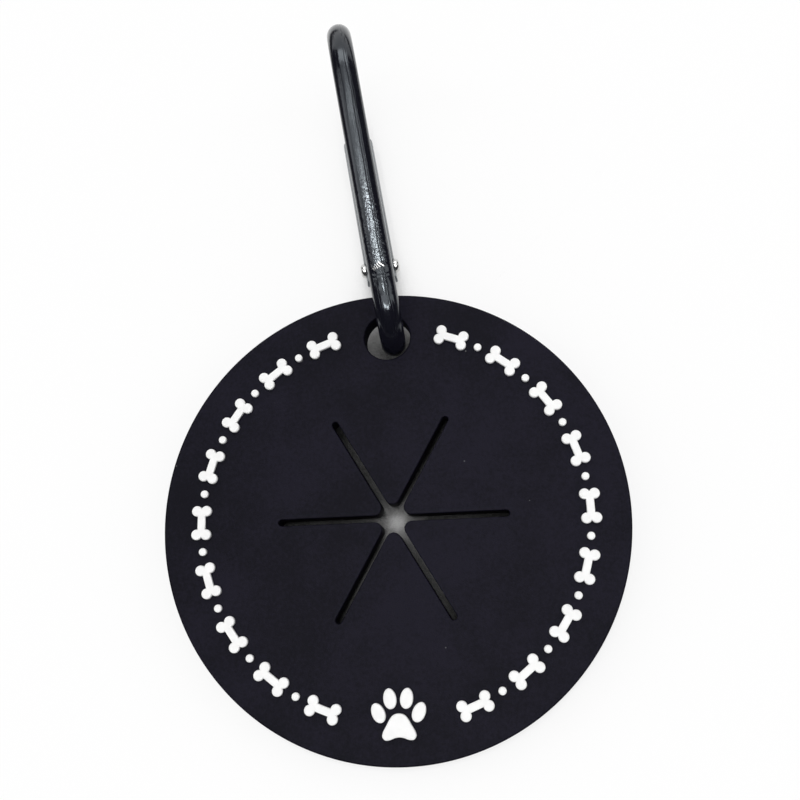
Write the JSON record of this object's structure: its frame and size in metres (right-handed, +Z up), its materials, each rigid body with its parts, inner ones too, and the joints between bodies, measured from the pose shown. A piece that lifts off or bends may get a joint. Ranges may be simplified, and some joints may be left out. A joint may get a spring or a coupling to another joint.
{
  "type": "used-bag carrier",
  "caption": "Soft black disc with a six-armed slit that grips the necks of tied pet waste bags, hung by its eyelet from a small spring-gate carabiner.",
  "frame": {"origin": "on the table, under the middle of the part's box as it lies with the carabiner standing on its gate edge", "axes": "+Z up from the table, +Y from the disc to the carabiner along the longest extent, +X to the right seen from above with the carabiner at the top"},
  "size_m": [0.09, 0.1486, 0.0311],
  "materials": {
    "disc_rubber": "matt moulded rubber, near black",
    "mark_rubber": "smooth white rubber, poured or printed, raised",
    "anodised_rod": "black anodised, glossy",
    "bright_steel": "bright stainless steel"
  },
  "bodies": {
    "disc": {"disc_body": "disc_rubber", "petal_root_1": "disc_rubber", "petal_root_2": "disc_rubber", "petal_root_3": "disc_rubber", "petal_root_4": "disc_rubber", "petal_root_5": "disc_rubber", "petal_root_6": "disc_rubber", "bones_left": "mark_rubber", "bones_right": "mark_rubber", "dots_left": "mark_rubber", "dots_right": "mark_rubber", "paw_pad": "mark_rubber", "paw_toe_1": "mark_rubber", "paw_toe_2": "mark_rubber", "paw_toe_3": "mark_rubber", "paw_toe_4": "mark_rubber"},
    "petal_1": {"petal_1": "disc_rubber"},
    "petal_2": {"petal_2": "disc_rubber"},
    "petal_3": {"petal_3": "disc_rubber"},
    "petal_4": {"petal_4": "disc_rubber"},
    "petal_5": {"petal_5": "disc_rubber"},
    "petal_6": {"petal_6": "disc_rubber"},
    "carabiner": {"carabiner_frame": "anodised_rod"},
    "gate": {"gate": "anodised_rod", "hinge_rivet": "bright_steel", "latch_pin": "bright_steel", "gate_spring": "bright_steel"},
    "plunger": {"spring_plunger": "bright_steel"}
  },
  "joints": [
    {"name": "petal_1_flex", "type": "hinge", "parent": "disc", "child": "petal_1", "pos_m": [0.015, -0.02067, 0.00646], "axis": [-0.5, 0.8636, 0.0645], "range_deg": [-35, 35], "stiffness_Nm_per_rad": 0.15, "deforming": ["petal_root_1"]},
    {"name": "petal_2_flex", "type": "hinge", "parent": "disc", "child": "petal_2", "pos_m": [0, -0.01203, 0.00711], "axis": [-1, 0, 0], "range_deg": [-35, 35], "stiffness_Nm_per_rad": 0.15, "deforming": ["petal_root_2"]},
    {"name": "petal_3_flex", "type": "hinge", "parent": "disc", "child": "petal_3", "pos_m": [-0.015, -0.02067, 0.00646], "axis": [-0.5, -0.8636, -0.0645], "range_deg": [-35, 35], "stiffness_Nm_per_rad": 0.15, "deforming": ["petal_root_3"]},
    {"name": "petal_4_flex", "type": "hinge", "parent": "disc", "child": "petal_4", "pos_m": [-0.015, -0.03794, 0.00517], "axis": [0.5, -0.8636, -0.0645], "range_deg": [-35, 35], "stiffness_Nm_per_rad": 0.15, "deforming": ["petal_root_4"]},
    {"name": "petal_5_flex", "type": "hinge", "parent": "disc", "child": "petal_5", "pos_m": [0, -0.04658, 0.00453], "axis": [1, 0, 0], "range_deg": [-35, 35], "stiffness_Nm_per_rad": 0.15, "deforming": ["petal_root_5"]},
    {"name": "petal_6_flex", "type": "hinge", "parent": "disc", "child": "petal_6", "pos_m": [0.015, -0.03794, 0.00517], "axis": [0.5, 0.8636, 0.0645], "range_deg": [-35, 35], "stiffness_Nm_per_rad": 0.15, "deforming": ["petal_root_6"]},
    {"name": "carabiner_swing", "type": "hinge", "parent": "disc", "child": "carabiner", "pos_m": [0.0001, 0.01332, 0.01104], "axis": [0.989, 0.1408, -0.0454], "range_deg": [-88, 95]},
    {"name": "gate_swing", "type": "hinge", "parent": "carabiner", "child": "gate", "pos_m": [-0.002, 0.02555, 0.00325], "axis": [0.989, 0.1408, -0.0454], "range_deg": [0, 33], "stiffness_Nm_per_rad": 0.3, "springref_deg": -11.46},
    {"name": "plunger_slide", "type": "slide", "parent": "gate", "child": "plunger", "axis": [-0.1409, 0.99, 0], "range_m": [0, 0.0011], "deforming": ["gate_spring"]}
  ],
  "couplings": [
    {"joint": "plunger_slide", "follows": "gate_swing", "m_per_rad": 0.0019}
  ]
}
